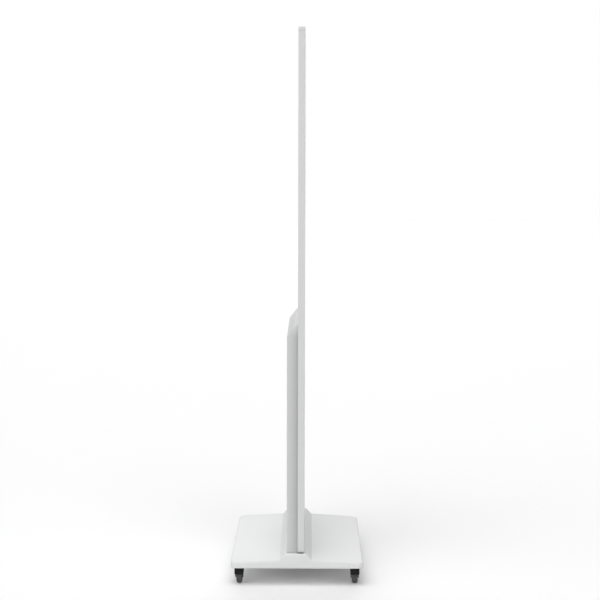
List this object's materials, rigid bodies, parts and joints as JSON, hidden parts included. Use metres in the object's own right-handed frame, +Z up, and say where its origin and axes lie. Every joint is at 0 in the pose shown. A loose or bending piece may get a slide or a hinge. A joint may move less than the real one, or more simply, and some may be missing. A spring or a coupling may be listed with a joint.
{
  "type": "rolling whiteboard",
  "caption": "Tall upright writing board with a shallow rear housing, carried by a low ridged base that rolls on hooded swivel casters.",
  "frame": {"origin": "on the floor under the middle of the base", "axes": "X along the board width, +Y towards the rear housing (the writing face looks to -Y), +Z up"},
  "size_m": [0.7, 0.456, 1.9],
  "materials": {
    "enamel": "white vitreous enamel, glossy and dry-wipe",
    "back_sheet": "white coil-coated sheet, satin",
    "core": "pressed fibre board, raw",
    "edge": "matt anodised, natural silver",
    "housing": "very pale grey powder coat, fine texture",
    "base": "off-white powder coat, satin",
    "steel": "zinc plated",
    "plate": "off-white primer, dull",
    "hood": "black moulded nylon",
    "hub": "dark grey moulded plastic",
    "tyre": "dark grey soft tread"
  },
  "bodies": {
    "stand": {"writing_sheet": "enamel", "board_core": "core", "back_sheet": "back_sheet", "board_edge_left": "edge", "board_edge_right": "edge", "board_edge_top": "edge", "board_edge_bottom": "edge", "board_corner_top_left": "edge", "board_corner_top_right": "edge", "board_corner_bottom_left": "edge", "board_corner_bottom_right": "edge", "board_rail_lower": "steel", "board_rail_upper": "steel", "rail_screw_lower_left": "steel", "rail_screw_lower_right": "steel", "rail_screw_upper_left": "steel", "rail_screw_upper_right": "steel", "rail_bolt_lower_left": "steel", "rail_bolt_lower_right": "steel", "rail_bolt_upper_left": "steel", "rail_bolt_upper_right": "steel", "foot_bolt_left_1": "steel", "foot_bolt_left_2": "steel", "foot_bolt_right_1": "steel", "foot_bolt_right_2": "steel", "housing_screw_lower_left": "steel", "housing_screw_lower_right": "steel", "housing_screw_upper_left": "steel", "housing_screw_upper_right": "steel", "base_screw_front_left": "steel", "base_screw_back_left": "steel", "base_screw_front_right": "steel", "base_screw_back_right": "steel", "upright_left": "steel", "upright_right": "steel", "caster_stem_front_left": "steel", "caster_stem_back_left": "steel", "caster_stem_front_right": "steel", "caster_stem_back_right": "steel", "rear_housing": "housing", "base_cover": "base", "base_plate": "plate"},
    "caster_front_left": {"caster_fork_front_left": "hood", "caster_axle_front_left": "steel"},
    "wheel_front_left": {"wheel_hub_front_left": "hub", "tyre_front_left": "tyre"},
    "caster_back_left": {"caster_fork_back_left": "hood", "caster_axle_back_left": "steel"},
    "wheel_back_left": {"wheel_hub_back_left": "hub", "tyre_back_left": "tyre"},
    "caster_front_right": {"caster_fork_front_right": "hood", "caster_axle_front_right": "steel"},
    "wheel_front_right": {"wheel_hub_front_right": "hub", "tyre_front_right": "tyre"},
    "caster_back_right": {"caster_fork_back_right": "hood", "caster_axle_back_right": "steel"},
    "wheel_back_right": {"wheel_hub_back_right": "hub", "tyre_back_right": "tyre"}
  },
  "joints": [
    {"name": "caster_swivel_front_left", "type": "hinge", "parent": "stand", "child": "caster_front_left", "pos_m": [-0.298, -0.2, 0.055], "axis": [0, 0, 1], "continuous": true},
    {"name": "wheel_spin_front_left", "type": "hinge", "parent": "caster_front_left", "child": "wheel_front_left", "pos_m": [-0.278, -0.2, 0.025], "axis": [0, 1, 0], "continuous": true},
    {"name": "caster_swivel_back_left", "type": "hinge", "parent": "stand", "child": "caster_back_left", "pos_m": [-0.298, 0.2, 0.055], "axis": [0, 0, 1], "continuous": true},
    {"name": "wheel_spin_back_left", "type": "hinge", "parent": "caster_back_left", "child": "wheel_back_left", "pos_m": [-0.278, 0.2, 0.025], "axis": [0, 1, 0], "continuous": true},
    {"name": "caster_swivel_front_right", "type": "hinge", "parent": "stand", "child": "caster_front_right", "pos_m": [0.298, -0.2, 0.055], "axis": [0, 0, 1], "continuous": true},
    {"name": "wheel_spin_front_right", "type": "hinge", "parent": "caster_front_right", "child": "wheel_front_right", "pos_m": [0.318, -0.2, 0.025], "axis": [0, 1, 0], "continuous": true},
    {"name": "caster_swivel_back_right", "type": "hinge", "parent": "stand", "child": "caster_back_right", "pos_m": [0.298, 0.2, 0.055], "axis": [0, 0, 1], "continuous": true},
    {"name": "wheel_spin_back_right", "type": "hinge", "parent": "caster_back_right", "child": "wheel_back_right", "pos_m": [0.318, 0.2, 0.025], "axis": [0, 1, 0], "continuous": true}
  ]
}
